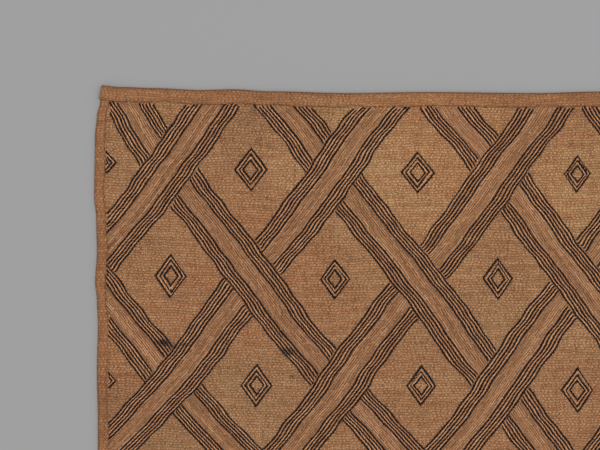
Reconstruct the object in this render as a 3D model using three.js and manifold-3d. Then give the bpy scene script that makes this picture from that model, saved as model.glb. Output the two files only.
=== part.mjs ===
import * as THREE from 'three';
import { mergeVertices } from 'three/addons/utils/BufferGeometryUtils.js';
import Module from 'manifold-3d';

// Embroidered raffia cloth lying face up, in millimetres, with +Z up and its underside at Z = 0.
// +X runs along the top edge to the right, +Y points to the top edge, and the origin is under the middle.
// "across" is measured from the left edge, "down" from the top edge, and "out" away from the cloth.

// Panel and hems
const clothWidth = 600;
const clothLength = 510;
const groundThickness = 1.0;
const topHemWidth = 7;
const sideHemWidth = 4.3;
const hemRelief = 1.1;
const foldInset = 0.4;
const cornerRise = 0.7;
const cornerFlat = 4;
const cornerEase = 20;
const hemEndOverhang = 0.6;
const longHemSteps = 34;
const sideHemSteps = 30;

// Lattice of bands, worked in embroidery: rising bands lean like a slash, falling bands the other way
const rising = -1;
const falling = 1;
const columnPitch = 40;
const rowPitch = 54;
const bandHalfWidth = 14;
const underGap = 1.2;
const bandSteps = 2;
const meetingReach = 12;
const meetingTries = 30;
const seamGap = 1.1;
const sinkDepth = 0.3;
const trimHeight = 4;

// Small diamonds, one in each field of the lattice
const motifWidth = 15.5;
const motifHeight = 21;
const motifInnerShare = 0.36;
const motifRelief = 0.5;

// How far each edge stands out from the straight, as the hand-sewn hems do
const topEdge = [
  { along: 0, out: 3.5 },
  { along: 12, out: 2.5 },
  { along: 28, out: 2 },
  { along: 52, out: 1 },
  { along: 68, out: 1.4 },
  { along: 86, out: 0.4 },
  { along: 124, out: -0.5 },
  { along: 165, out: 0 },
  { along: 220, out: -0.5 },
  { along: 250, out: 0.2 },
  { along: 350, out: -0.6 },
  { along: 450, out: 0.6 },
  { along: 550, out: 0.2 },
  { along: 600, out: 2.2 },
];
const leftEdge = [
  { along: 0, out: -2 },
  { along: 5, out: -1.6 },
  { along: 12, out: 0 },
  { along: 22, out: 1 },
  { along: 53, out: 1.4 },
  { along: 62, out: 0.4 },
  { along: 80, out: 0 },
  { along: 95, out: 0.9 },
  { along: 104, out: 0 },
  { along: 116, out: -0.5 },
  { along: 140, out: 0 },
  { along: 166, out: -0.5 },
  { along: 270, out: 0.6 },
  { along: 390, out: -0.5 },
  { along: 490, out: 0.5 },
  { along: 510, out: -1 },
];
const rightEdge = [
  { along: 0, out: -1.5 },
  { along: 16, out: 0.4 },
  { along: 110, out: 1.2 },
  { along: 230, out: -0.4 },
  { along: 340, out: 0.7 },
  { along: 470, out: 0 },
  { along: 510, out: -1.2 },
];
const bottomEdge = [
  { along: 0, out: 1.8 },
  { along: 40, out: 0.6 },
  { along: 160, out: -0.6 },
  { along: 300, out: 0.5 },
  { along: 430, out: -0.4 },
  { along: 560, out: 0.8 },
  { along: 600, out: 2.4 },
];

// The turned layers of a hem from the outer fold to the sewn inner edge, as shares of their width and relief
const hemSection = [
  { inward: 0, rise: 0.4 },
  { inward: 0.12, rise: 0.9 },
  { inward: 0.45, rise: 1 },
  { inward: 0.92, rise: 0.85 },
  { inward: 1, rise: 0.55 },
];

// A band's relief over the ground: low ribs in the middle, and a group of dark rows along each edge
const bandSection = [
  { offset: -bandHalfWidth, rise: 0.5 },
  { offset: -6.8, rise: 0.75 },
  { offset: -5.4, rise: 0.45 },
  { offset: 5.4, rise: 0.45 },
  { offset: 6.8, rise: 0.75 },
  { offset: bandHalfWidth, rise: 0.5 },
];

// Columns and rows of the lattice that stand off the even pitch, from the left and from the top
const columnAcross = [-8, 37, 78, 119, 161, 200.5, 240];
const rowDown = [-14, 40, 93, 147.5];
const firstMotifAcross = 2;

// Bands that lean off their columns where they run into an edge or a looser part of the lattice
const bandLeans = [
  { slope: rising, row: 0, column: 2, shift: -6 },
  { slope: rising, row: 0, column: 4, shift: -4 },
  { slope: rising, row: 0, column: 6, shift: -1 },
  { slope: rising, row: 4, column: 0, shift: -7 },
  { slope: falling, row: 0, column: 0, shift: 10 },
  { slope: falling, row: 4, column: 2, shift: 7 },
  { slope: falling, row: 4, column: 4, shift: 6 },
  { slope: falling, row: 5, column: 3, shift: 5 },
  { slope: falling, row: 5, column: 5, shift: 4 },
  { slope: falling, row: 6, column: 4, shift: 2 },
  { slope: falling, row: 6, column: 6, shift: 2 },
];
const lastColumn = 16;
const lastRow = 10;
const rowAboveCloth = -2;

// Unevenness of the setting-out beyond the tables, and the slow waver of a band along its length
const settingSway = 1.5;
const swayTurn = 2.7;
const bandWavers = [
  { size: 0.6, length: 71, turn: 2.4 },
  { size: 0.3, length: 33, turn: 5.1 },
];

const wasm = await Module();
wasm.setup();

// Setting-out

function edgeOut(edge, along) {
  if (along <= edge[0].along) {
    return edge[0].out;
  }
  const next = edge.findIndex((row) => row.along >= along);
  if (next < 0) {
    return edge[edge.length - 1].out;
  }
  const before = edge[next - 1];
  const after = edge[next];
  const share = (along - before.along) / (after.along - before.along);
  return THREE.MathUtils.lerp(before.out, after.out, THREE.MathUtils.smoothstep(share, 0, 1));
}

function place(across, down) {
  return new THREE.Vector2(across - clothWidth / 2, clothLength / 2 - down);
}

function settingPoint(table, pitch, index) {
  const last = table.length - 1;
  if (index < 0) {
    return table[0] + index * pitch;
  }
  if (index <= last) {
    return table[index];
  }
  return table[last] + (index - last) * pitch + settingSway * Math.sin(index * swayTurn);
}

function acrossOf(column) {
  return settingPoint(columnAcross, columnPitch, column);
}

function downOf(row) {
  return settingPoint(rowDown, rowPitch, row);
}

function leanOf(slope, row, column) {
  const found = bandLeans.find((lean) => lean.slope === slope && lean.row === row && lean.column === column);
  return found ? found.shift : 0;
}

function bandNode(slope, number, row) {
  const column = number + slope * row;
  return acrossOf(column) + leanOf(slope, row, column);
}

// Middle line of a band at a distance down the cloth: a smooth run through its crossings, with a slow waver
function bandAcross(slope, number, down) {
  let row = rowAboveCloth;
  while (downOf(row + 1) < down) {
    row += 1;
  }
  const share = (down - downOf(row)) / (downOf(row + 1) - downOf(row));
  const before = bandNode(slope, number, row - 1);
  const from = bandNode(slope, number, row);
  const to = bandNode(slope, number, row + 1);
  const after = bandNode(slope, number, row + 2);
  const startPull = (to - before) / 2;
  const endPull = (after - from) / 2;
  const bend = from * 2 - to * 2 + startPull + endPull;
  const sweep = to * 3 - from * 3 - startPull * 2 - endPull;
  let across = from + share * (startPull + share * (sweep + share * bend));
  for (const waver of bandWavers) {
    across += waver.size * Math.sin((2 * Math.PI * down) / waver.length + waver.turn * number + slope);
  }
  return across;
}

// Solids

function solidOf(geometry) {
  const bare = geometry.clone();
  bare.deleteAttribute('normal');
  bare.deleteAttribute('uv');
  const merged = mergeVertices(bare);
  const vertProperties = new Float32Array(merged.attributes.position.array);
  const triVerts = new Uint32Array(merged.index.array);
  return new wasm.Manifold(new wasm.Mesh({ numProp: 3, vertProperties, triVerts }));
}

// A divided box whose points are moved by a rule: shares run 0 to 1 over its width, length and height
function shapedBox(widthSteps, lengthSteps, pointAt) {
  const box = new THREE.BoxGeometry(1, 1, 1, widthSteps, lengthSteps, 1);
  const points = box.attributes.position;
  for (let i = 0; i < points.count; i += 1) {
    const step = Math.round((points.getX(i) + 0.5) * widthSteps);
    const share = points.getY(i) + 0.5;
    const onTop = points.getZ(i) > 0;
    const point = pointAt(step, share, onTop);
    points.setXYZ(i, point.x, point.y, point.z);
  }
  return solidOf(box);
}

function plate(outline, low, height) {
  const slab = new THREE.ExtrudeGeometry(new THREE.Shape(outline), { depth: height, bevelEnabled: false });
  slab.translate(0, 0, low);
  return solidOf(slab);
}

// The panel's outline, drawn in from its four edges by separate amounts at the hems
function panelOutline(topInset, sideInset) {
  const topDown = (across) => topInset - edgeOut(topEdge, across);
  const bottomDown = (across) => clothLength - topInset + edgeOut(bottomEdge, across);
  const leftAcross = (down) => sideInset - edgeOut(leftEdge, down);
  const rightAcross = (down) => clothWidth - sideInset + edgeOut(rightEdge, down);
  const points = [];
  for (let i = 0; i < longHemSteps; i += 1) {
    const across = THREE.MathUtils.lerp(leftAcross(clothLength), rightAcross(clothLength), i / longHemSteps);
    points.push(place(across, bottomDown(across)));
  }
  for (let i = 0; i < sideHemSteps; i += 1) {
    const down = THREE.MathUtils.lerp(bottomDown(clothWidth), topDown(clothWidth), i / sideHemSteps);
    points.push(place(rightAcross(down), down));
  }
  for (let i = 0; i < longHemSteps; i += 1) {
    const across = THREE.MathUtils.lerp(rightAcross(0), leftAcross(0), i / longHemSteps);
    points.push(place(across, topDown(across)));
  }
  for (let i = 0; i < sideHemSteps; i += 1) {
    const down = THREE.MathUtils.lerp(topDown(0), bottomDown(0), i / sideHemSteps);
    points.push(place(leftAcross(down), down));
  }
  return points;
}

function hemHeight(row, onTop, rise) {
  return onTop ? groundThickness + row.rise * (hemRelief + rise) : groundThickness - sinkDepth;
}

// A hem along the top or bottom edge: it is turned last, so its ends ride over the side hems
function longHem(edge, isTop) {
  const start = -edgeOut(leftEdge, isTop ? 0 : clothLength) - hemEndOverhang;
  const end = clothWidth + edgeOut(rightEdge, isTop ? 0 : clothLength) + hemEndOverhang;
  return shapedBox(hemSection.length - 1, longHemSteps, (step, share, onTop) => {
    const row = hemSection[step];
    const across = isTop ? THREE.MathUtils.lerp(start, end, share) : THREE.MathUtils.lerp(end, start, share);
    const fromEnd = Math.min(across - start, end - across);
    const rise = cornerRise * (1 - THREE.MathUtils.smoothstep(fromEnd, cornerFlat, cornerEase));
    const inward = foldInset + row.inward * topHemWidth - edgeOut(edge, across);
    const point = place(across, isTop ? inward : clothLength - inward);
    return new THREE.Vector3(point.x, point.y, hemHeight(row, onTop, rise));
  });
}

// A hem along the left or right edge, with its ends under the top and bottom hems
function sideHem(edge, isLeft) {
  const lastStep = hemSection.length - 1;
  const start = topHemWidth / 2;
  const end = clothLength - topHemWidth / 2;
  return shapedBox(lastStep, sideHemSteps, (step, share, onTop) => {
    const row = hemSection[isLeft ? step : lastStep - step];
    const down = THREE.MathUtils.lerp(end, start, share);
    const inward = foldInset + row.inward * sideHemWidth - edgeOut(edge, down);
    const point = place(isLeft ? inward : clothWidth - inward, down);
    return new THREE.Vector3(point.x, point.y, hemHeight(row, onTop, 0));
  });
}

// Where a line at a set offset from its band's middle meets the near edge of the band it goes under
function meetingDown(slope, number, offset, overNumber, overOffset, from, to) {
  const gapAt = (down) =>
    bandAcross(slope, number, down) + offset - bandAcross(-slope, overNumber, down) - overOffset;
  let low = from;
  let high = to;
  const startsAbove = gapAt(low) > 0;
  for (let i = 0; i < meetingTries; i += 1) {
    const middle = (low + high) / 2;
    if (gapAt(middle) > 0 === startsAbove) {
      low = middle;
    } else {
      high = middle;
    }
  }
  return (low + high) / 2;
}

// One stretch of a band, over its neighbour at the given row and under the bands at the rows before and after
function bandStretch(slope, number, row) {
  const clear = bandHalfWidth + underGap;
  const overBefore = number + 2 * slope * (row - 1);
  const overAfter = number + 2 * slope * (row + 1);
  const highest = downOf(row - 1) - meetingReach;
  const lowest = downOf(row + 1) + meetingReach;
  const ends = bandSection.map(({ offset }) => ({
    upper: meetingDown(slope, number, offset, overBefore, slope * clear, highest, downOf(row)),
    lower: meetingDown(slope, number, offset, overAfter, -slope * clear, downOf(row), lowest),
  }));
  return shapedBox(bandSection.length - 1, bandSteps, (step, share, onTop) => {
    const down = THREE.MathUtils.lerp(ends[step].lower, ends[step].upper, share);
    const point = place(bandAcross(slope, number, down) + bandSection[step].offset, down);
    const height = onTop ? groundThickness + bandSection[step].rise : groundThickness - sinkDepth;
    return new THREE.Vector3(point.x, point.y, height);
  });
}

function diamond(across, down, share) {
  const halfWidth = (motifWidth * share) / 2;
  const halfHeight = (motifHeight * share) / 2;
  return [
    place(across + halfWidth, down),
    place(across, down - halfHeight),
    place(across - halfWidth, down),
    place(across, down + halfHeight),
  ];
}

function motif(row, column) {
  const across = column === 0 ? firstMotifAcross : acrossOf(column);
  const ring = plate(diamond(across, downOf(row), 1), groundThickness - sinkDepth, sinkDepth + motifRelief);
  const middle = plate(diamond(across, downOf(row), motifInnerShare), 0, trimHeight);
  return ring.subtract(middle);
}

// The whole panel with its raised embroidery, as one solid
function clothSolid() {
  let cloth = plate(panelOutline(0, 0), 0, groundThickness);
  cloth = cloth.add(sideHem(leftEdge, true)).add(sideHem(rightEdge, false));
  cloth = cloth.add(longHem(topEdge, true)).add(longHem(bottomEdge, false));
  const field = plate(panelOutline(topHemWidth + seamGap, sideHemWidth + seamGap), 0, trimHeight);
  for (let row = 0; row <= lastRow; row += 1) {
    for (let column = 0; column <= lastColumn; column += 1) {
      const isCrossing = (row + column) % 2 === 0;
      const slope = row % 2 === 1 ? rising : falling;
      const raised = isCrossing ? bandStretch(slope, column - slope * row, row) : motif(row, column);
      cloth = cloth.add(field.intersect(raised));
    }
  }
  return cloth;
}

function geometryOf(solid) {
  const { vertProperties, triVerts } = solid.getMesh();
  const geometry = new THREE.BufferGeometry();
  geometry.setAttribute('position', new THREE.BufferAttribute(new Float32Array(vertProperties), 3));
  geometry.setIndex(new THREE.BufferAttribute(new Uint32Array(triVerts), 1));
  geometry.computeVertexNormals();
  return geometry;
}

const raffia = new THREE.MeshStandardMaterial({ color: 0x9c7550, roughness: 0.85, metalness: 0 });
const cloth = new THREE.Mesh(geometryOf(clothSolid()), raffia);
cloth.name = 'raffia_cloth';

const part = new THREE.Group();
part.add(cloth);

export default part;
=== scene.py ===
import math

import bmesh
import bpy
import numpy as np
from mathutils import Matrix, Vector


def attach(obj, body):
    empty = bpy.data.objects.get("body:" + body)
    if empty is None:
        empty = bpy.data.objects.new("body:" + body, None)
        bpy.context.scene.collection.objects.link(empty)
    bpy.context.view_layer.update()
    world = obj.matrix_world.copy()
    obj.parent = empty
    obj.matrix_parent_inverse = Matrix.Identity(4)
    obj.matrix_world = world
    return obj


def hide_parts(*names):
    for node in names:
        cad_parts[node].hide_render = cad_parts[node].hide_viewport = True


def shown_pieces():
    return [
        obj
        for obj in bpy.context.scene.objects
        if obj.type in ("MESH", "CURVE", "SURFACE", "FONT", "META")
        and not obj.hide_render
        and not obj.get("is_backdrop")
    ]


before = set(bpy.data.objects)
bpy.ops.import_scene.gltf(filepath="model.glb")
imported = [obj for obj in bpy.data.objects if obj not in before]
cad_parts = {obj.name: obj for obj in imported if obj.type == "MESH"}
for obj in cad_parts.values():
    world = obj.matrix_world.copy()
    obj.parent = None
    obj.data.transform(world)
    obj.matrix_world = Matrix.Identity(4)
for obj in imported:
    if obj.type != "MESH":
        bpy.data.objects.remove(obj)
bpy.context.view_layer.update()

# Embroidered raffia cloth, laid flat and face up. Working sizes are millimetres: across from the
# left edge, down from the top edge and height over the floor. placed() turns them into metres.
mm = 0.001
fullTurn = 2 * math.pi
rising = -1     # bands that lean like a slash
falling = 1     # bands that lean the other way

# The woven panel: its nominal size, and how far each edge stands out from the straight (along, out)
panel = {
    "wide": 600,
    "long": 510,
    "thick": 1.0,
    "rimInset": 0.9,        # the sheet stops inside the folds of its hems
    "gridStep": 4.0,
    "rippleHeight": 0.1,
    "rippleLengths": (18, 90),
    "ripples": 14,
    "seed": 11,
    "cutSize": (0.617, 0.538),      # before the hems were turned, in metres
    "faceShare": 0.85,      # of the bake map, with the back from backStart up
    "backStart": 0.87,
    "topEdge": [
        (0, 3.5), (12, 2.5), (28, 2), (52, 1), (68, 1.4), (86, 0.4), (124, -0.5), (165, 0), (220, -0.5),
        (250, 0.2), (350, -0.6), (450, 0.6), (550, 0.2), (600, 2.2),
    ],
    "bottomEdge": [(0, 1.8), (40, 0.6), (160, -0.6), (300, 0.5), (430, -0.4), (560, 0.8), (600, 2.4)],
    "leftEdge": [
        (0, -2), (5, -1.6), (12, 0), (22, 1), (53, 1.4), (62, 0.4), (80, 0), (95, 0.9), (104, 0), (116, -0.5),
        (140, 0), (166, -0.5), (270, 0.6), (390, -0.5), (490, 0.5), (510, -1),
    ],
    "rightEdge": [(0, -1.5), (16, 0.4), (110, 1.2), (230, -0.4), (340, 0.7), (470, 0), (510, -1.2)],
}


def edgeOut(edge, along):
    rows = np.array(panel[edge], float)
    stops = rows[:, 0]
    outs = rows[:, 1]
    along = np.clip(along, stops[0], stops[-1])
    after = np.clip(np.searchsorted(stops, along), 1, len(stops) - 1)
    share = (along - stops[after - 1]) / (stops[after] - stops[after - 1])
    share = share * share * (3 - 2 * share)
    return outs[after - 1] + (outs[after] - outs[after - 1]) * share


def topDown(across):
    return -edgeOut("topEdge", across)


def bottomDown(across):
    return panel["long"] + edgeOut("bottomEdge", across)


def leftAcross(down):
    return -edgeOut("leftEdge", down)


def rightAcross(down):
    return panel["wide"] + edgeOut("rightEdge", down)


def placed(across, down, height):
    across, down, height = np.broadcast_arrays(across, down, height)
    points = np.stack([across - panel["wide"] / 2, panel["long"] / 2 - down, height], -1)
    return points.reshape(-1, 3) * mm


def rippleWaves():
    rng = np.random.default_rng(panel["seed"])
    lengths = rng.uniform(*panel["rippleLengths"], panel["ripples"])
    turns = rng.uniform(0, math.pi, panel["ripples"])
    phases = rng.uniform(0, fullTurn, panel["ripples"])
    return list(zip(lengths, turns, phases))


waves = rippleWaves()


# height of the woven surface, which lies a little uneven
def groundHeight(across, down):
    height = 0
    for length, turn, phase in waves:
        way = across * math.cos(turn) + down * math.sin(turn)
        height = height + length / panel["rippleLengths"][1] * np.sin(fullTurn * way / length + phase)
    return panel["thick"] + panel["rippleHeight"] * height / 2


# Meshes from arrays

def buildMesh(name, points, faceSets):
    mesh = bpy.data.meshes.new(name)
    corners = np.concatenate([faces.ravel() for faces in faceSets])
    sizes = np.concatenate([np.full(len(faces), faces.shape[1]) for faces in faceSets])
    starts = np.concatenate([[0], np.cumsum(sizes)[:-1]])
    mesh.vertices.add(len(points))
    mesh.vertices.foreach_set("co", points.astype(np.float32).ravel())
    mesh.loops.add(len(corners))
    mesh.loops.foreach_set("vertex_index", corners.astype(np.int32))
    mesh.polygons.add(len(sizes))
    mesh.polygons.foreach_set("loop_start", starts.astype(np.int32))
    mesh.polygons.foreach_set("use_smooth", np.ones(len(sizes), bool))
    mesh.update(calc_edges=True)
    return mesh


def cornerNumbers(mesh):
    numbers = np.empty(len(mesh.loops), np.int32)
    mesh.loops.foreach_get("vertex_index", numbers)
    return numbers


def layMap(mesh, name, cornerPlaces):
    layer = mesh.uv_layers.new(name=name, do_init=False)
    layer.uv.foreach_set("vector", cornerPlaces.astype(np.float32).ravel())


def pointValues(mesh, name, values):
    layer = mesh.attributes.new(name, "FLOAT", "POINT")
    layer.data.foreach_set("value", np.asarray(values, np.float32))


def addPiece(name, mesh, material):
    piece = bpy.data.objects.new(name, mesh)
    bpy.context.scene.collection.objects.link(piece)
    mesh.materials.append(material)
    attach(piece, "root")
    return piece


# Material helpers

def linear(red, green, blue):
    parts = [value / 255 for value in (red, green, blue)]
    return tuple(v / 12.92 if v < 0.04045 else ((v + 0.055) / 1.055) ** 2.4 for v in parts) + (1.0,)


def newMaterial(name):
    material = bpy.data.materials.new(name)
    material.use_nodes = True
    tree = material.node_tree
    return material, tree, tree.nodes["Principled BSDF"]


def addNode(tree, kind, **settings):
    made = tree.nodes.new("ShaderNode" + kind)
    for key, value in settings.items():
        setattr(made, key, value)
    return made


def feed(tree, socket, value):
    if isinstance(value, bpy.types.NodeSocket):
        tree.links.new(value, socket)
    else:
        socket.default_value = value


def calc(tree, operation, first, second=0.0):
    step = addNode(tree, "Math", operation=operation)
    feed(tree, step.inputs[0], first)
    feed(tree, step.inputs[1], second)
    return step.outputs[0]


def calcVector(tree, operation, first, second):
    step = addNode(tree, "VectorMath", operation=operation)
    feed(tree, step.inputs[0], first)
    feed(tree, step.inputs["Scale" if operation == "SCALE" else 1], second)
    return step.outputs["Value"] if operation == "DISTANCE" else step.outputs["Vector"]


def mixValue(tree, share, first, second):
    step = addNode(tree, "Mix", data_type="FLOAT")
    feed(tree, step.inputs[0], share)
    feed(tree, step.inputs[2], first)
    feed(tree, step.inputs[3], second)
    return step.outputs[0]


def mixColour(tree, share, first, second, blend="MIX"):
    step = addNode(tree, "Mix", data_type="RGBA", blend_type=blend)
    feed(tree, step.inputs[0], share)
    feed(tree, step.inputs[6], first)
    feed(tree, step.inputs[7], second)
    return step.outputs[2]


def ranged(tree, value, fromRange, toRange):
    step = addNode(tree, "MapRange")
    feed(tree, step.inputs["Value"], value)
    feed(tree, step.inputs["From Min"], fromRange[0])
    feed(tree, step.inputs["From Max"], fromRange[1])
    feed(tree, step.inputs["To Min"], toRange[0])
    feed(tree, step.inputs["To Max"], toRange[1])
    return step.outputs["Result"]


def cloudy(tree, vector, scale, detail=2.0, output="Fac"):
    step = addNode(tree, "TexNoise", noise_dimensions="3D")
    feed(tree, step.inputs["Vector"], vector)
    feed(tree, step.inputs["Scale"], scale)
    feed(tree, step.inputs["Detail"], detail)
    return step.outputs[output]


def joinedVector(tree, x, y, z=0.0):
    step = addNode(tree, "CombineXYZ")
    feed(tree, step.inputs[0], x)
    feed(tree, step.inputs[1], y)
    feed(tree, step.inputs[2], z)
    return step.outputs[0]


def shades(tree, value, stops):
    step = addNode(tree, "ValToRGB")
    ramp = step.color_ramp
    while len(ramp.elements) < len(stops):
        ramp.elements.new(0.5)
    for element, (place, colour) in zip(ramp.elements, stops):
        element.position = place
        element.color = linear(*colour)
    feed(tree, step.inputs[0], value)
    return step.outputs["Color"]


def bumped(tree, shader, height, depth, strength):
    step = addNode(tree, "Bump")
    feed(tree, step.inputs["Height"], height)
    feed(tree, step.inputs["Distance"], depth)
    feed(tree, step.inputs["Strength"], strength)
    feed(tree, shader.inputs["Normal"], step.outputs["Normal"])


# Uneven colour of the face. Every mark has a middle (across, down), half sizes and a strength.
stains = {
    "smudge": (58, 44, 36),
    "breakUp": 900,
    "ragged": 0.35,
    "smudgeReach": (0.35, 1.1),         # full strength inside the first, none past the second
    "smudges": [
        (33.5, 125.3, 4.6, 2.3, 0.9),
        (37.5, 127.2, 3.0, 1.8, 0.6),
        (44, 126.5, 3.6, 1.2, 0.5),
        (2.5, 14.6, 3.2, 0.6, 0.35),
        (95, 130, 4.2, 2.6, 0.7),
        (97.5, 142, 1.8, 1.4, 0.6),
        (229.5, 149, 0.7, 8.5, 0.3),
        (78, 10, 2.4, 3.6, 0.28),
        (80.5, 24.5, 2.2, 2.0, 0.25),
    ],
    "fadeBreakUp": 45,
    "fadeRagged": 0.6,
    "fadeReach": (0.4, 1.3),
    "pale": (1.17, 1.22, 1.18),          # gains in linear light
    "paleMarks": [
        (160, 40, 40, 46, 1.0), (100, 37, 16, 18, 0.7), (236, 48, 22, 30, 0.8), (122, 12, 16, 9, 0.5),
    ],
    "brown": (0.88, 0.88, 0.88),
    "brownMarks": [
        (75, 16, 24, 14, 0.85), (14, 168, 46, 30, 0.8), (78, 146, 30, 16, 0.4), (36, 142, 34, 4, 0.7),
        (120, 95, 22, 5, 0.5),
    ],
}


def markShare(tree, where, marks, reach, ragged):
    strongest = None
    for across, down, halfWide, halfTall, strength in marks:
        middle = placed(across, down, 0)[0]
        stretch = (1 / (halfWide * mm), 1 / (halfTall * mm), 0)
        away = calcVector(tree, "MULTIPLY", calcVector(tree, "SUBTRACT", where, tuple(middle)), stretch)
        distance = calc(tree, "ADD", calcVector(tree, "DISTANCE", away, (0, 0, 0)), ragged)
        share = ranged(tree, distance, reach, (strength, 0))
        strongest = share if strongest is None else calc(tree, "MAXIMUM", strongest, share)
    return strongest


def smudged(tree, where, colour):
    size = stains["ragged"]
    ragged = ranged(tree, cloudy(tree, where, stains["breakUp"], 3.0), (0.3, 0.7), (-size, size))
    share = markShare(tree, where, stains["smudges"], stains["smudgeReach"], ragged)
    return mixColour(tree, share, colour, linear(*stains["smudge"]))


def faded(tree, where, colour):
    size = stains["fadeRagged"]
    ragged = ranged(tree, cloudy(tree, where, stains["fadeBreakUp"], 3.0), (0.3, 0.7), (-size, size))
    for kind in ("brown", "pale"):
        share = markShare(tree, where, stains[kind + "Marks"], stains["fadeReach"], ragged)
        changed = mixColour(tree, 1.0, colour, stains[kind] + (1.0,), "MULTIPLY")
        colour = mixColour(tree, share, colour, changed)
    return colour


# Plain weave: threads are counted along the "threads" map, warp across and weft down
weave = {
    "warpPitch": 0.97,
    "weftPitch": 1.31,
    "swayScale": 70,
    "swaySize": 0.9,
    "rowStep": 1.8,         # threads step aside from row to row, in threads
    "columnStep": 0.7,
    "overSize": 0.19,       # weft floats are paler than warp ones
    "toneSize": 0.3,
    "spotSize": 0.2,        # each crossing has a tone of its own
    # painted shade: how much darker the colour gets in the pits between threads
    "pitShadeSize": 0.5,
    "grainSize": 0.8,
    "warpShows": (0.2, 0.6),      # the warp dips between wider floats of weft
    "threadSpread": 5.3,    # keeps the noise of neighbouring threads apart
    "rowDrift": 0.04,       # how fast a thread changes along its length
    "columnDrift": 0.3,
    "warpToneDrift": 0.06,
    "weftToneDrift": 0.05,
    "rednessDrift": 0.03,
    "tintScale": 11.0,
    "fibreScale": (2.6, 3.4, 1.0),
    "fibreRelief": 0.35,
    "roughness": (0.9, 0.66),       # in the pits and on the threads
    "specular": 0.25,
    "bumpDepth": 0.0003,
    "bumpStrength": 0.6,
    "shades": [
        (0.0, (80, 44, 18)), (0.28, (117, 76, 44)), (0.5, (146, 104, 71)), (0.72, (170, 128, 92)),
        (1.0, (198, 156, 116)),
    ],
    "golden": (249, 255, 250),
    "redBrown": (251, 231, 220),
    # painted shade: the colour laid into the hems' folds and under their sewn lip
    "creaseShade": (84, 48, 30),
}
hemWeave = dict(
    weave,
    golden=(250, 242, 232),
    redBrown=(248, 228, 214),
    overSize=0.16,
    toneSize=0.3,
    spotSize=0.16,
    pitShadeSize=0.3,
    grainSize=0.35,
    bumpStrength=0.55,
)


def threadBow(tree, count):
    fromMiddle = calc(tree, "SUBTRACT", calc(tree, "FRACT", count), 0.5)
    drop = calc(tree, "MULTIPLY", calc(tree, "MULTIPLY", fromMiddle, fromMiddle), 4.0)
    return calc(tree, "SUBTRACT", 1.0, drop)


def overThread(tree, acrossBow, alongBow):
    return calc(tree, "MULTIPLY", acrossBow, ranged(tree, alongBow, (0, 1), (0.5, 1)))


# a value that changes from thread to thread and drifts slowly along each one
def threadNoise(tree, number, along, drift, layer):
    spread = calc(tree, "MULTIPLY", number, weave["threadSpread"])
    way = joinedVector(tree, calc(tree, "MULTIPLY", along, drift), spread, layer)
    return cloudy(tree, way, 1.0, 1.0)


def swung(tree, value, size):
    return ranged(tree, value, (0.25, 0.75), (-size / 2, size / 2))


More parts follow.
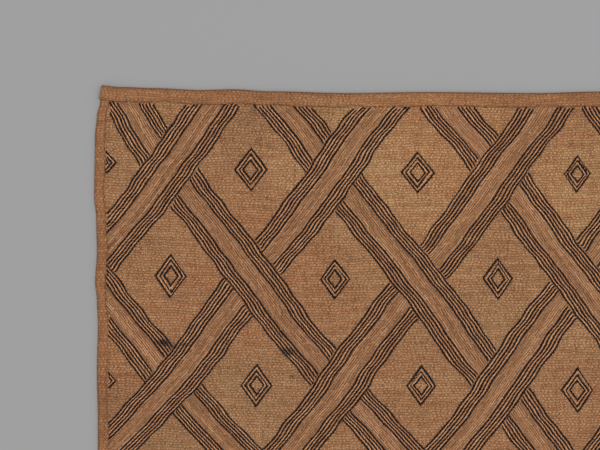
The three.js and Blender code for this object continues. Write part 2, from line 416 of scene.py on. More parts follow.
def weaveMaterial(name, look, shadedCreases=False):
    material, tree, shader = newMaterial(name)
    where = addNode(tree, "TexCoord").outputs["Object"]
    counts = addNode(tree, "UVMap", uv_map="threads").outputs[0]
    sway = cloudy(tree, where, look["swayScale"], 1.0, "Color")
    sway = calcVector(tree, "SUBTRACT", sway, (0.5, 0.5, 0.5))
    counts = calcVector(tree, "ADD", counts, calcVector(tree, "SCALE", sway, look["swaySize"]))
    split = addNode(tree, "SeparateXYZ")
    feed(tree, split.inputs[0], counts)
    warp, weft = split.outputs[0], split.outputs[1]
    rowStep = threadNoise(tree, calc(tree, "FLOOR", weft), warp, look["rowDrift"], 1.0)
    columnStep = threadNoise(tree, calc(tree, "FLOOR", warp), weft, look["columnDrift"], 2.0)
    warp = calc(tree, "ADD", warp, swung(tree, rowStep, look["rowStep"]))
    weft = calc(tree, "ADD", weft, swung(tree, columnStep, look["columnStep"]))
    warpNumber = calc(tree, "FLOOR", warp)
    weftNumber = calc(tree, "FLOOR", weft)
    warpBow = threadBow(tree, warp)
    weftBow = threadBow(tree, weft)
    warpOver = calc(tree, "FLOORED_MODULO", calc(tree, "ADD", warpNumber, weftNumber), 2.0)
    warpOver = calc(tree, "MULTIPLY", warpOver, ranged(tree, warpBow, look["warpShows"], (0, 1)))
    weftHeight = overThread(tree, weftBow, warpBow)
    warpHeight = overThread(tree, warpBow, weftBow)
    height = mixValue(tree, warpOver, weftHeight, warpHeight)
    fibre = cloudy(tree, calcVector(tree, "MULTIPLY", counts, look["fibreScale"]), 1.0, 2.0)

    # each thread has its own tone, and so has each crossing
    warpTone = threadNoise(tree, warpNumber, weft, look["warpToneDrift"], 3.0)
    weftTone = threadNoise(tree, weftNumber, warp, look["weftToneDrift"], 4.0)
    tone = swung(tree, mixValue(tree, warpOver, weftTone, warpTone), look["toneSize"])
    tone = calc(tree, "ADD", tone, swung(tree, fibre, look["grainSize"]))
    spot = addNode(tree, "TexWhiteNoise", noise_dimensions="2D")
    feed(tree, spot.inputs["Vector"], joinedVector(tree, warpNumber, weftNumber))
    half = look["spotSize"] / 2
    tone = calc(tree, "ADD", tone, ranged(tree, spot.outputs["Value"], (0, 1), (0.5 - half, 0.5 + half)))
    half = look["overSize"] / 2
    tone = calc(tree, "ADD", tone, ranged(tree, warpOver, (0, 1), (half, -half)))
    # painted shade: the colour darkens where the threads' bows dip between crossings
    pitShade = calc(tree, "MULTIPLY", calc(tree, "SUBTRACT", height, 0.5), look["pitShadeSize"])
    colour = shades(tree, calc(tree, "ADD", tone, pitShade), look["shades"])

    # golden to red-brown: a slow drift, and threads of weft that are redder
    drift = ranged(tree, cloudy(tree, where, look["tintScale"], 3.0), (0.36, 0.64), (0, 0.5))
    redder = threadNoise(tree, weftNumber, warp, look["rednessDrift"], 5.0)
    redness = calc(tree, "ADD", drift, ranged(tree, redder, (0.35, 0.65), (0, 0.5)))
    tint = mixColour(tree, redness, linear(*look["golden"]), linear(*look["redBrown"]))
    colour = mixColour(tree, 1.0, colour, tint, "MULTIPLY")
    colour = smudged(tree, where, faded(tree, where, colour))
    # painted shade in the hems' folds and under the sewn lip, by a share stored on each point
    if shadedCreases:
        creaseShade = addNode(tree, "Attribute", attribute_name="creaseShade").outputs["Fac"]
        colour = mixColour(tree, creaseShade, colour, linear(*look["creaseShade"]))
    feed(tree, shader.inputs["Base Color"], colour)
    feed(tree, shader.inputs["Roughness"], ranged(tree, height, (0, 1), look["roughness"]))
    feed(tree, shader.inputs["Specular IOR Level"], look["specular"])
    relief = calc(tree, "ADD", height, calc(tree, "MULTIPLY", fibre, look["fibreRelief"]))
    bumped(tree, shader, relief, look["bumpDepth"], look["bumpStrength"])
    return material


groundCloth = weaveMaterial("ground_weave", weave)
hemCloth = weaveMaterial("hem_weave", hemWeave, shadedCreases=True)
print("weave materials ready")


# The sheet: woven panel with an even underside and a faintly rippled face

def sheetPlan(shareAcross, shareDown):
    inset = panel["rimInset"]
    across = shareAcross * panel["wide"]
    down = shareDown * panel["long"]
    left = leftAcross(down) + inset
    right = rightAcross(down) - inset
    top = topDown(across) + inset
    bottom = bottomDown(across) - inset
    return left + (right - left) * shareAcross, top + (bottom - top) * shareDown


def gridQuads(rows, columns):
    first = (np.arange(rows - 1)[:, None] * columns + np.arange(columns - 1)).ravel()
    return np.stack([first, first + columns, first + columns + 1, first + 1], 1)


def makeSheet():
    columns = round(panel["wide"] / panel["gridStep"]) + 1
    rows = round(panel["long"] / panel["gridStep"]) + 1
    shareDown, shareAcross = np.meshgrid(np.linspace(0, 1, rows), np.linspace(0, 1, columns), indexing="ij")
    across, down = sheetPlan(shareAcross, shareDown)
    points = np.concatenate([placed(across, down, groundHeight(across, down)), placed(across, down, 0)])
    count = rows * columns
    face = gridQuads(rows, columns)
    back = face[:, ::-1] + count
    numbers = np.arange(count).reshape(rows, columns)
    ring = np.concatenate([numbers[0, :-1], numbers[:-1, -1], numbers[-1, :0:-1], numbers[:0:-1, 0]])
    after = np.roll(ring, -1)
    rim = np.stack([ring, after, after + count, ring + count], 1)
    mesh = buildMesh("raffia_sheet", points, [face, back, rim])

    warpCount = shareAcross * panel["wide"] / weave["warpPitch"]
    weftCount = shareDown * panel["long"] / weave["weftPitch"]
    threads = np.tile(np.stack([warpCount, weftCount], -1).reshape(-1, 2), (2, 1))
    layMap(mesh, "threads", threads[cornerNumbers(mesh)])
    # on the bake map the face fills most of the square, and the back a strip above it
    shareUp = 1 - shareDown
    backStart = panel["backStart"]
    facePlaces = np.stack([shareAcross, panel["faceShare"] * shareUp], -1).reshape(-1, 2)
    backPlaces = np.stack([shareAcross, backStart + (1 - backStart) * shareUp], -1).reshape(-1, 2)
    onFace = facePlaces[face.ravel()]
    onBack = backPlaces[back.ravel() - count]
    onRim = facePlaces[rim.ravel() % count]
    layMap(mesh, "OFBake", np.concatenate([onFace, onBack, onRim]))
    return addPiece("raffia_sheet", mesh, groundCloth)


sheet = makeSheet()
print("sheet", len(sheet.data.polygons), "faces")

# Hems: the panel's edges turned over twice. The section runs round the fold from the underside:
# inward distance as a fixed part plus a share of the hem's width, height, and the share of painted shade laid
# into the fold there.
hems = {
    "topWidth": 7.0,
    "sideWidth": 4.9,
    "step": 1.4,
    "endOverhang": 0.8,
    "endSlant": 1.3,
    "cornerRise": 0.7,
    "cornerFlat": 4,
    "cornerEase": 20,
    # the side hems carry less of the painted fold shade
    "sideCreaseShade": 0.25,
    "lipWaver": 0.28,
    "lipLengths": (47, 19),
    "lipDraw": 0.4,
    "pucker": 0.07,
    "puckerLengths": (5.3, 8.9),
    "turnStep": 1.7,            # sets each hem's waver apart from the next
    "stitchEvery": 3.3,
    "stitchLong": 2.1,
    "stitchWide": 0.5,
    "stitchTall": 0.16,
    "stitchBase": 1.86,
    "stitchInset": 0.3,
    "stitchEnds": 2,
    "section": [
        (-0.6, 1, 0.15, 0), (0, 0.45, 0.02, 0), (1.0, 0, 0.0, 0), (0.35, 0, 0.1, 0.3), (0.05, 0, 0.35, 0.35),
        (0, 0, 0.7, 0.4), (0.12, 0, 1.15, 0.45), (0.5, 0, 1.65, 0.4), (1.2, 0, 2.0, 0.05), (0, 0.45, 2.14, 0),
        (0, 0.8, 2.05, 0), (-0.3, 1, 1.85, 0), (0, 1, 1.5, 0.05), (0.05, 1, 1.15, 0.15), (-0.3, 1, 0.75, 0.2),
    ],
}


def smoothRise(value, low, high):
    share = np.clip((value - low) / (high - low), 0, 1)
    return share * share * (3 - 2 * share)


# waver of a hem's sewn lip: a slow drift, drawn in a little at each stitch
def lipWaver(along, turn):
    long, short = hems["lipLengths"]
    slow = np.sin(fullTurn * along / long + turn) + 0.6 * np.sin(fullTurn * along / short + 2.3 * turn)
    drawn = hems["lipDraw"] * np.cos(fullTurn * along / hems["stitchEvery"])
    return hems["lipWaver"] * (slow + drawn)


def hemPlace(edge, along, inward):
    if edge == "topEdge":
        return along, topDown(along) + inward
    if edge == "bottomEdge":
        return along, bottomDown(along) - inward
    if edge == "leftEdge":
        return leftAcross(along) + inward, along
    return rightAcross(along) - inward, along


def hemEnds(edge):
    if edge in ("leftEdge", "rightEdge"):
        return hems["topWidth"] / 2, panel["long"] - hems["topWidth"] / 2
    down = 0 if edge == "topEdge" else panel["long"]
    return leftAcross(down) - hems["endOverhang"], rightAcross(down) + hems["endOverhang"]


def hemWidth(edge):
    return hems["topWidth"] if edge in ("topEdge", "bottomEdge") else hems["sideWidth"]


def makeHem(name, edge, turn):
    start, end = hemEnds(edge)
    along = np.linspace(start, end, round((end - start) / hems["step"]) + 1)
    fixed, share, height, creaseShade = np.array(hems["section"]).T
    width = hemWidth(edge) + lipWaver(along, turn)
    inward = fixed + share * width[:, None]
    fromEnd = np.minimum(along - start, end - along)
    if hemWidth(edge) == hems["topWidth"]:      # long hems are turned last and ride over the side hems
        rise = hems["cornerRise"] * (1 - smoothRise(fromEnd, hems["cornerFlat"], hems["cornerEase"]))
    else:
        rise = np.zeros_like(along)
    short, long = hems["puckerLengths"]
    puckers = np.sin(fullTurn * along / short + turn) + np.sin(fullTurn * along / long + 3 * turn)
    puckers = hems["pucker"] * (puckers + np.cos(fullTurn * along / hems["stitchEvery"]))
    lift = np.clip(height - 0.8, 0, 1)
    tall = height + lift * (rise[:, None] + puckers[:, None])
    nearEnd = (1 - smoothRise(along - start, 0, hems["cornerEase"]))[:, None]
    slanted = along[:, None] + hems["endSlant"] * nearEnd * (1 - inward / width[:, None])
    across, down = hemPlace(edge, slanted if rise.any() else along[:, None], inward)
    points = placed(across, down, tall)

    rows, columns = inward.shape
    numbers = np.arange(rows * columns).reshape(rows, columns)
    beside = np.roll(numbers, -1, 1)
    sides = np.stack([numbers[:-1], beside[:-1], beside[1:], numbers[1:]], -1).reshape(-1, 4)
    mesh = buildMesh(name, points, [sides, numbers[:1], numbers[-1:, ::-1]])
    shape = bmesh.new()
    shape.from_mesh(mesh)
    bmesh.ops.recalc_face_normals(shape, faces=shape.faces)
    shape.to_mesh(mesh)
    shape.free()

    steps = np.hypot(np.diff(inward, axis=1), np.diff(tall, axis=1))
    roundFold = np.concatenate([np.zeros((rows, 1)), np.cumsum(steps, 1)], 1)
    alongCount = np.broadcast_to(along[:, None], inward.shape)
    if hemWidth(edge) == hems["topWidth"]:
        threads = np.stack([alongCount / weave["warpPitch"], roundFold / weave["weftPitch"]], -1)
    else:
        threads = np.stack([roundFold / weave["warpPitch"], alongCount / weave["weftPitch"]], -1)
    layMap(mesh, "threads", threads.reshape(-1, 2)[cornerNumbers(mesh)])
    # side hems get less painted shade in their folds
    if hemWidth(edge) == hems["sideWidth"]:
        creaseShade = creaseShade * hems["sideCreaseShade"]
    pointValues(mesh, "creaseShade", np.broadcast_to(creaseShade, inward.shape).ravel())
    return addPiece(name, mesh, hemCloth)


hemEdges = {
    "hem_top": "topEdge",
    "hem_bottom": "bottomEdge",
    "hem_left": "leftEdge",
    "hem_right": "rightEdge",
}
for turn, (name, edge) in enumerate(hemEdges.items()):
    makeHem(name, edge, hems["turnStep"] * turn)

# Lattice: crossings stand on columns and rows, off the even pitch as far as the tables reach
lattice = {
    "columns": [-8, 37, 78, 119, 161, 200.5, 240],
    "columnPitch": 40,
    "rows": [-14, 40, 93, 147.5],
    "rowPitch": 54,
    "sway": 1.5,
    "swayTurn": 2.7,
    "lastColumn": 16,
    "lastRow": 10,
    "halfWidth": 14,
    "meetingReach": 12,
    "meetingTries": 26,
    "wavers": [(0.6, 71, 2.4), (0.3, 33, 5.1)],         # size, length, turn from band to band
    "leans": {                                          # slope, row, column: shift
        (rising, 0, 2): -4, (rising, 0, 4): -3.2, (rising, 0, 6): -1, (rising, 1, 1): -2.6,
        (rising, 1, 3): -0.3, (rising, 1, 5): 1.6, (rising, 2, 0): 1.5, (rising, 2, 4): 0.8,
        (rising, 3, 1): -1, (rising, 3, 3): 1.8, (rising, 3, 5): 1.2, (rising, 4, 0): -3.5,
        (rising, 4, 2): 4, (rising, 5, 1): 2.5,
        (falling, 0, 0): 9, (falling, 0, 2): -1.5, (falling, 0, 4): -2, (falling, 0, 6): -1.2,
        (falling, 1, 1): 1, (falling, 1, 3): -1, (falling, 2, 0): 4.8, (falling, 2, 4): -1.5,
        (falling, 3, 1): 2.8, (falling, 3, 3): 2, (falling, 3, 5): 0.3, (falling, 3, 7): -0.8,
        (falling, 4, 2): 10.5, (falling, 4, 4): 8, (falling, 5, 3): 8.5, (falling, 5, 5): 6.5,
        (falling, 6, 4): 6, (falling, 6, 6): 4.5, (falling, 7, 5): 3.5, (falling, 7, 7): 2.5,
        (falling, 8, 6): 1.5,
    },
    "groupLeans": {                                     # slope, number, side: shift, from and to how far down
        (falling, 0, 1): (-2.4, 4, 34), (falling, 0, -1): (0.8, 4, 34),
    },
    "groupWavers": [(0.3, (36, 60)), (0.28, (15, 24)), (0.26, (8, 13))],    # size, range of lengths
    "seed": 5,
}


def settingPoint(table, pitch, index):
    last = len(table) - 1
    if index < 0:
        return table[0] + index * pitch
    if index <= last:
        return table[index]
    return table[last] + (index - last) * pitch + lattice["sway"] * math.sin(index * lattice["swayTurn"])


def acrossOf(column):
    return settingPoint(lattice["columns"], lattice["columnPitch"], column)


def downOf(row):
    return settingPoint(lattice["rows"], lattice["rowPitch"], row)


firstRow = -3
rowNumbers = range(firstRow, lattice["lastRow"] + 5)
rowPlaces = np.array([downOf(row) for row in rowNumbers])
nodeTables = {}


def bandNodes(slope, number):
    if (slope, number) not in nodeTables:
        columns = [number + slope * row for row in rowNumbers]
        nodes = [acrossOf(c) + lattice["leans"].get((slope, r, c), 0) for r, c in zip(rowNumbers, columns)]
        nodeTables[slope, number] = np.array(nodes)
    return nodeTables[slope, number]


# middle line of a band: a smooth run through its crossings, with a slow waver
def bandAcross(slope, number, down):
    nodes = bandNodes(slope, number)
    at = np.clip(np.searchsorted(rowPlaces, down) - 1, 1, len(nodes) - 3)
    share = (down - rowPlaces[at]) / (rowPlaces[at + 1] - rowPlaces[at])
    here = nodes[at]
    there = nodes[at + 1]
    startPull = (there - nodes[at - 1]) / 2
    endPull = (nodes[at + 2] - here) / 2
    bend = here * 2 - there * 2 + startPull + endPull
    sweep = there * 3 - here * 3 - startPull * 2 - endPull
    across = here + share * (startPull + share * (sweep + share * bend))
    for size, length, turn in lattice["wavers"]:
        across = across + size * np.sin(fullTurn * down / length + turn * number + slope)
    return across


groupTables = {}


# the rows along one edge of a band waver together
def groupWaver(slope, number, side, down):
    key = (slope, number, side)
    if key not in groupTables:
        rng = np.random.default_rng([lattice["seed"], slope + 1, number + 60, side + 1])
        table = []
        for size, lengths in lattice["groupWavers"]:
            table.append((size, rng.uniform(*lengths), rng.uniform(0, fullTurn)))
        groupTables[key] = table
    waver = sum(size * np.sin(fullTurn * down / length + turn) for size, length, turn in groupTables[key])
    shift, start, end = lattice["groupLeans"].get(key, (0, 0, 1))
    return waver + shift * (1 - smoothRise(down, start, end))


def lineAcross(slope, number, offset, down):
    share = (offset + lattice["halfWidth"]) / (2 * lattice["halfWidth"])
    left = groupWaver(slope, number, -1, down)
    right = groupWaver(slope, number, 1, down)
    return bandAcross(slope, number, down) + offset + left + (right - left) * share


# where lines of a band meet the near edge of the band that they go under
def meetingDown(slope, number, offsets, overNumber, side, gaps, high, low):
    edge = side * lattice["halfWidth"]
    high = np.full(len(offsets), float(high))
    low = np.full(len(offsets), float(low))

    def apart(down):
        over = lineAcross(-slope, overNumber, edge, down) + side * gaps
        return lineAcross(slope, number, offsets, down) - over

    startsAbove = apart(high) > 0
    for _ in range(lattice["meetingTries"]):
        middle = (high + low) / 2
        same = (apart(middle) > 0) == startsAbove
        high = np.where(same, middle, high)
        low = np.where(same, low, middle)
    return (high + low) / 2


def stretchEnds(slope, number, row, offsets, gaps):
    before = number + 2 * slope * (row - 1)
    after = number + 2 * slope * (row + 1)
    highest = downOf(row - 1) - lattice["meetingReach"]
    lowest = downOf(row + 1) + lattice["meetingReach"]
    upper = meetingDown(slope, number, offsets, before, slope, gaps[0], highest, downOf(row))
    lower = meetingDown(slope, number, offsets, after, -slope, gaps[1], downOf(row), lowest)
    return upper, lower


def crossings():
    for row in range(lattice["lastRow"] + 1):
        for column in range(lattice["lastColumn"] + 1):
            if (row + column) % 2 == 0:
                slope = rising if row % 2 else falling
                yield slope, column - slope * row, row


# Stitches: low hipped ridges with slanted ends, laid end over end along a row
stitches = {
    "sink": 0.15,
    "ridgeShare": 0.55,
    "toneSpread": 0.55,
    "pitchSpread": 0.16,
    "wideSpread": (0.88, 1.12),
    "tallSpread": (0.85, 1.15),
    "endSkew": 0.35,
    "rowWavers": (11, 23),
    "linePoints": 90,
    "seamGap": (0.1, 1.0),
    "underGap": (0.35, 1.1),
    "seed": 31,
    "dark": {
        "pitch": 1.8, "overlap": 1.22, "wide": 1.16, "tall": 0.52,
        "slant": 0.16, "waver": 0.17, "rowSpread": 0.4,
    },
    "tan": {
        "pitch": 2.3, "overlap": 1.2, "wide": 0.78, "tall": 0.46,
        "slant": 0.12, "waver": 0.12, "rowSpread": 0.4,
    },
    "rib": {
        "pitch": 5.5, "overlap": 1.06, "wide": 0.66, "tall": 0.42,
        "slant": 0.03, "waver": 0.15, "rowSpread": 0.55,
    },
    # low dark strips in the gaps between ribs: partly the ground's own browner colour, partly painted shade
    # between the ribs
    "furrowShade": {
        "pitch": 6.5, "overlap": 1.08, "wide": 0.95, "tall": 0.14,
        "slant": 0.02, "waver": 0.05, "rowSpread": 0.6,
    },
    "darkRows": [5.9, 7.8, 9.7, 11.6, 13.5],
    "tanRows": [6.85, 8.75, 10.65, 12.55],
    "ribRows": [0.65, 1.95, 3.25, 4.55],
    "furrowShadeRows": [0, 1.3, 2.6, 3.9, 5.15],
}
stitchRng = np.random.default_rng(stitches["seed"])


def insideSeams(across, down, gap):
    sideInset = hems["sideWidth"] + gap
    longInset = hems["topWidth"] + gap
    clearSides = (across > leftAcross(down) + sideInset) & (across < rightAcross(down) - sideInset)
    clearEnds = (down > topDown(across) + longInset) & (down < bottomDown(across) - longInset)
    return clearSides & clearEnds


# one row of stitches along a line of points: middle, way, length and tone of each
def stitchRow(across, down, kind, seamGap):
    steps = np.hypot(np.diff(across), np.diff(down))
    run = np.concatenate([[0], np.cumsum(steps)])
    count = max(1, round(run[-1] / kind["pitch"]))
    ends = np.linspace(0, run[-1], count + 1)
    pitch = run[-1] / count
    if count > 1:
        ends[1:-1] += stitchRng.uniform(-0.5, 0.5) * pitch      # rows don't keep step with each other
        ends[1:-1] += stitchRng.uniform(-1, 1, count - 1) * stitches["pitchSpread"] * pitch
    endAcross = np.interp(ends, run, across)
    endDown = np.interp(ends, run, down)
    middleAcross = (endAcross[1:] + endAcross[:-1]) / 2
    middleDown = (endDown[1:] + endDown[:-1]) / 2
    way = np.arctan2(np.diff(endDown), np.diff(endAcross)) + kind["slant"]
    length = np.diff(ends) * kind["overlap"]
    rowTone = 0.5 + kind["rowSpread"] * stitchRng.uniform(-0.5, 0.5)
    tone = rowTone + stitches["toneSpread"] * stitchRng.uniform(-0.5, 0.5, count)
    made = np.stack([middleAcross, middleDown, way, length, np.clip(tone, 0, 1)], 1)
    return made[insideSeams(middleAcross, middleDown, seamGap)]


def stitchPiece(name, rows, kind, material, baseHeight=groundHeight):
    across, down, way, length, tone = np.concatenate(rows).T
    count = len(across)
    wide = kind["wide"] * stitchRng.uniform(*stitches["wideSpread"], count)
    tall = kind["tall"] * stitchRng.uniform(*stitches["tallSpread"], count)
    skew = stitches["endSkew"] * wide
    # base corners then ridge ends: along and beside the stitch, and height over its base
    halfLong = length / 2
    halfWide = wide / 2
    ridge = halfLong * stitches["ridgeShare"]
    none = np.zeros(count)
    low = none - stitches["sink"]
    corners = [
        (-halfLong - skew, -halfWide, low), (halfLong - skew, -halfWide, low),
        (halfLong + skew, halfWide, low), (-halfLong + skew, halfWide, low),
        (-ridge, none, tall), (ridge, none, tall),
    ]
    along, beside, over = np.array(corners).transpose(1, 2, 0)
    turnX = np.cos(way)[:, None]
    turnY = np.sin(way)[:, None]
    base = baseHeight(across, down)[:, None]
    points = placed(
        across[:, None] + along * turnX - beside * turnY,
        down[:, None] + along * turnY + beside * turnX,
        base + over,
    )
    first = 6 * np.arange(count)[:, None]
    quads = np.concatenate([first + (0, 1, 2, 3), first + (0, 4, 5, 1), first + (2, 5, 4, 3)])
    triangles = np.concatenate([first + (0, 3, 4), first + (1, 5, 2)])
    mesh = buildMesh(name, points, [quads, triangles])
    used = cornerNumbers(mesh)
    onMap = points[:, :2] / (panel["wide"] * mm) + 0.5
    layMap(mesh, "OFBake", onMap[used])
    strand = np.stack([along / length.mean() + tone[:, None] * 37, beside / wide.mean()], -1).reshape(-1, 2)
    layMap(mesh, "strand", strand[used])
    pointValues(mesh, "tone", np.repeat(tone, 6))
    return addPiece(name, mesh, material)


# Stitch finishes: shades run from the darkest stitch to the palest
raffiaShades = {
    "dark_stitch": {
        "shades": [(0.0, (11, 14, 21)), (0.6, (19, 22, 30)), (1.0, (42, 40, 42))],
        "roughness": (0.7, 0.85),
        "specular": 0.18,
    },
    "tan_stitch": {
        "shades": [(0.0, (180, 117, 72)), (0.5, (211, 148, 98)), (1.0, (236, 179, 131))],
        "roughness": (0.5, 0.7),
        "specular": 0.3,
    },
    "rib_stitch": {
        "shades": [(0.0, (148, 102, 66)), (0.5, (186, 136, 96)), (1.0, (216, 168, 126))],
        "roughness": (0.55, 0.75),
        "specular": 0.3,
    },
    # dark gap strips: partly the ground's browner colour, partly painted shade between the ribs
    "furrow_shade_stitch": {
        "shades": [(0.0, (94, 58, 36)), (0.5, (122, 82, 54)), (1.0, (150, 107, 75))],
        "roughness": (0.6, 0.8),
        "specular": 0.25,
    },
    "hem_thread": {
        "shades": [(0.0, (108, 69, 48)), (1.0, (148, 103, 72))],
        "roughness": (0.6, 0.8),
        "specular": 0.25,
    },
}


def stitchMaterial(name):
    look = raffiaShades[name]
    material, tree, shader = newMaterial(name)
    where = addNode(tree, "TexCoord").outputs["Object"]
    strand = addNode(tree, "UVMap", uv_map="strand").outputs[0]
    tone = addNode(tree, "Attribute", attribute_name="tone").outputs["Fac"]
    fibre = cloudy(tree, calcVector(tree, "MULTIPLY", strand, (1.5, 7.0, 1.0)), 1.0, 2.0)
    value = calc(tree, "ADD", tone, ranged(tree, fibre, (0.25, 0.75), (-0.22, 0.22)))
    colour = shades(tree, value, look["shades"])
    if name != "dark_stitch":
        colour = smudged(tree, where, colour)
    feed(tree, shader.inputs["Base Color"], colour)
    feed(tree, shader.inputs["Roughness"], ranged(tree, fibre, (0.25, 0.75), look["roughness"]))
    feed(tree, shader.inputs["Specular IOR Level"], look["specular"])
    bumped(tree, shader, fibre, 0.0002, 0.4)
    return material


darkRaffia = stitchMaterial("dark_stitch")
tanRaffia = stitchMaterial("tan_stitch")
ribRaffia = stitchMaterial("rib_stitch")
furrowShadeRaffia = stitchMaterial("furrow_shade_stitch")
hemThread = stitchMaterial("hem_thread")


def mirrored(offsets):
    return sorted({-offset for offset in offsets} | set(offsets))


# every row of one kind along the bands of one slope
def bandRows(slope, offsets, kind):
    made = []
    shares = np.linspace(0, 1, stitches["linePoints"])
    offsets = np.array(mirrored(offsets))
    count = len(offsets)
    for bandSlope, number, row in crossings():
        if bandSlope != slope:
            continue
        gaps = stitchRng.uniform(*stitches["underGap"], (2, count))
        upper, lower = stretchEnds(slope, number, row, offsets, gaps)
        down = upper[:, None] + (lower - upper)[:, None] * shares
        across = lineAcross(slope, number, offsets[:, None], down)
        turns = stitchRng.uniform(0, fullTurn, (count, 1))
        lengths = stitchRng.uniform(*stitches["rowWavers"], (count, 1))
        shifts = stitchRng.uniform(-1, 1, (count, 1)) * kind["waver"]
        across = across + shifts + kind["waver"] * np.sin(fullTurn * down / lengths + turns)
        for line in range(count):
            made.append(stitchRow(across[line], down[line], kind, stitchRng.uniform(*stitches["seamGap"])))
    return made


bandKinds = [       # kind, name of its pieces, material and slot
    ("dark", "dark_rows_", darkRaffia, "dark_raffia"),
    ("tan", "tan_rows_", tanRaffia, "tan_raffia"),
    ("rib", "ribs_", ribRaffia, "tan_raffia"),
    # the dark gap strips carry painted shade between the ribs
    ("furrowShade", "furrow_shades_", furrowShadeRaffia, "tan_raffia"),
]
stitchPieces = []
for slope, leaning in ((rising, "rising"), (falling, "falling")):
    for kind, name, material, slotName in bandKinds:
        rows = bandRows(slope, stitches[kind + "Rows"], stitches[kind])
        stitchPieces.append(stitchPiece(name + leaning, rows, stitches[kind], material))
    print("bands", leaning, "done")

# Small diamonds: nested outlines of dark stitches with tan ones between, one in each field of the lattice
diamonds = {
    "wide": 15.5,
    "tall": 21,
    "loose": 1.03,
    "sizeSpread": 0.08,
    "placeSpread": 1.0,
    "darkRings": [1.0, 0.74, 0.48],
    "tanRings": [0.87, 0.61],
    "cornerSpread": 0.35,
    "overshoot": 0.25,
    "bow": 0.25,
    "linePoints": 14,
    "seamGap": 0.8,
    "firstAcross": 2,       # the first column is cut by the left hem
    "seed": 47,
    "set": {        # row, column: shift across and down, width, height
        (1, 0): (0, -4.8, 15, 18), (1, 2): (-1.2, -1.2, 16.2, 21.2), (1, 4): (-0.8, 0.2, 16.8, 20.5),
        (1, 6): (0.1, 1.0, 13.8, 18.8), (2, 1): (-0.2, -1.0, 15.6, 21.8), (2, 3): (0, 0.6, 15.2, 19.8),
        (2, 5): (0, 0.4, 14.8, 21), (3, 0): (0, -3.1, 15.5, 16), (3, 2): (1.7, -0.8, 15.8, 21),
        (3, 4): (1.0, -0.7, 14.8, 19.8), (3, 6): (0.2, 1.7, 16, 22),
    },
}
diamondRng = np.random.default_rng(diamonds["seed"])


def diamondSetting(row, column):
    across = diamonds["firstAcross"] if column == 0 else acrossOf(column)
    drawn = diamondRng.uniform(-1, 1, 4)
    shiftAcross, shiftDown = drawn[:2] * diamonds["placeSpread"]
    wide = diamonds["wide"] * (1 + drawn[2] * diamonds["sizeSpread"])
    tall = diamonds["tall"] * (1 + drawn[3] * diamonds["sizeSpread"])
    if (row, column) in diamonds["set"]:
        shiftAcross, shiftDown, wide, tall = diamonds["set"][row, column]
    return across + shiftAcross, downOf(row) + shiftDown, wide * diamonds["loose"], tall * diamonds["loose"]


def ringRows(setting, share, kind):
    across, down, wide, tall = setting
    halfWide = (wide - stitches["dark"]["wide"]) / 2 * share
    halfTall = (tall - stitches["dark"]["wide"]) / 2 * share
    tips = np.array([
        (across + halfWide, down), (across, down + halfTall),
        (across - halfWide, down), (across, down - halfTall),
    ])
    tips = tips + diamondRng.uniform(-1, 1, tips.shape) * diamonds["cornerSpread"]
    made = []
    for side in range(4):
        start = tips[side]
        end = tips[(side + 1) % 4]
        way = (end - start) / np.linalg.norm(end - start)
        start = start - way * diamonds["overshoot"]
        end = end + way * diamonds["overshoot"] * diamondRng.uniform(0, 2)
        shares = np.linspace(0, 1, diamonds["linePoints"])
        bow = diamonds["bow"] * diamondRng.uniform(-1, 1) * np.sin(math.pi * shares)
        line = start + (end - start) * shares[:, None] + bow[:, None] * np.array([-way[1], way[0]])
        made.append(stitchRow(line[:, 0], line[:, 1], kind, diamonds["seamGap"]))
    return made


def makeDiamonds():
    dark = []
    tan = []
    for row in range(lattice["lastRow"] + 1):
        for column in range(lattice["lastColumn"] + 1):
            if (row + column) % 2 == 1:
                setting = diamondSetting(row, column)
                for share in diamonds["darkRings"]:
                    dark += ringRows(setting, share, stitches["dark"])
                for share in diamonds["tanRings"]:
                    tan += ringRows(setting, share, stitches["tan"])
    stitchPieces.append(stitchPiece("diamonds_dark", dark, stitches["dark"], darkRaffia))
    stitchPieces.append(stitchPiece("diamonds_tan", tan, stitches["tan"], tanRaffia))


makeDiamonds()
print("diamonds done")


def hemTop(across, down):
    return np.full(len(across), hems["stitchBase"])


# running stitches that hold the hems down, just inside each lip
def makeHemStitches():
    rows = []
    for turn, edge in enumerate(hemEdges.values()):
        start, end = hemEnds(edge)
        along = np.arange(start + hems["stitchEnds"], end - hems["stitchEnds"], hems["stitchEvery"])
        along = along + stitchRng.uniform(-0.3, 0.3, len(along))
        inward = hemWidth(edge) + lipWaver(along, hems["turnStep"] * turn) - hems["stitchInset"]
        across, down = hemPlace(edge, along, inward)
        heading = 0 if edge in ("topEdge", "bottomEdge") else math.pi / 2
        way = heading + stitchRng.uniform(-0.1, 0.25, len(along))
        long = hems["stitchLong"] * stitchRng.uniform(0.75, 1.15, len(along))
        rows.append(np.stack([across, down, way, long, stitchRng.uniform(0, 1, len(along))], 1))
    kind = dict(stitches["rib"], wide=hems["stitchWide"], tall=hems["stitchTall"])
    return stitchPiece("hem_stitches", rows, kind, hemThread, hemTop)


stitchPieces.append(makeHemStitches())
for piece in stitchPieces:
    print(piece.name, len(piece.data.polygons) // 5, "stitches")

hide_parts("raffia_cloth")

# Studio: grey floor, even light all round and a broad soft key from above, a little to the right
studio = {
    "floorSize": 160.0,
    "floorGrey": (160, 160, 160),
    "skyStrength": 0.68,
    "keyPlace": (0.6, 0.2, 3.2),
    "keySize": 1.6,
    "keyPower": 37.6,
}


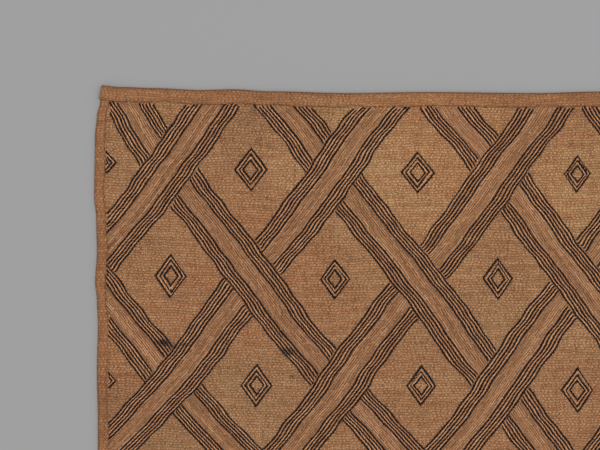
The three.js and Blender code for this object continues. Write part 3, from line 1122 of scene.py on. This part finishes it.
def makeFloor():
    shape = bmesh.new()
    bmesh.ops.create_grid(shape, x_segments=8, y_segments=8, size=studio["floorSize"] / 2)
    mesh = bpy.data.meshes.new("floor")
    shape.to_mesh(mesh)
    shape.free()
    floor = bpy.data.objects.new("floor", mesh)
    bpy.context.scene.collection.objects.link(floor)
    material, tree, shader = newMaterial("floor_grey")
    feed(tree, shader.inputs["Base Color"], linear(*studio["floorGrey"]))
    feed(tree, shader.inputs["Roughness"], 0.95)
    feed(tree, shader.inputs["Specular IOR Level"], 0.0)
    mesh.materials.append(material)
    floor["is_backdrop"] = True


def makeLights():
    world = bpy.data.worlds.new("studio")
    world.use_nodes = True
    sky = world.node_tree.nodes["Background"]
    sky.inputs["Color"].default_value = (1, 1, 1, 1)
    sky.inputs["Strength"].default_value = studio["skyStrength"]
    bpy.context.scene.world = world
    lamp = bpy.data.lights.new("key", "AREA")
    lamp.shape = "DISK"
    lamp.size = studio["keySize"]
    lamp.energy = studio["keyPower"]
    key = bpy.data.objects.new("key", lamp)
    target = placed(view["across"], view["down"], 0)[0]
    place = np.array(studio["keyPlace"]) + target
    key.location = place
    aim = Vector(target - place)
    key.rotation_euler = aim.to_track_quat("-Z", "Y").to_euler()
    bpy.context.scene.collection.objects.link(key)


# Camera: straight above the cloth's top left corner, with a long lens
view = {
    "across": 101.5,
    "down": 66.5,
    "frameWide": 300,
    "lens": 300,
    "sensor": 36,
}


def makeCamera():
    data = bpy.data.cameras.new("camera")
    data.lens = view["lens"]
    data.sensor_width = view["sensor"]
    data.sensor_fit = "HORIZONTAL"
    data.clip_end = 100
    camera = bpy.data.objects.new("camera", data)
    distance = view["frameWide"] * view["lens"] / view["sensor"]
    camera.location = placed(view["across"], view["down"], distance + panel["thick"])[0]
    bpy.context.scene.collection.objects.link(camera)
    bpy.context.scene.camera = camera


makeFloor()
makeLights()
makeCamera()
bpy.context.scene.view_settings.view_transform = "Standard"
print("studio ready")

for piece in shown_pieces():
    piece.data.calc_loop_triangles()
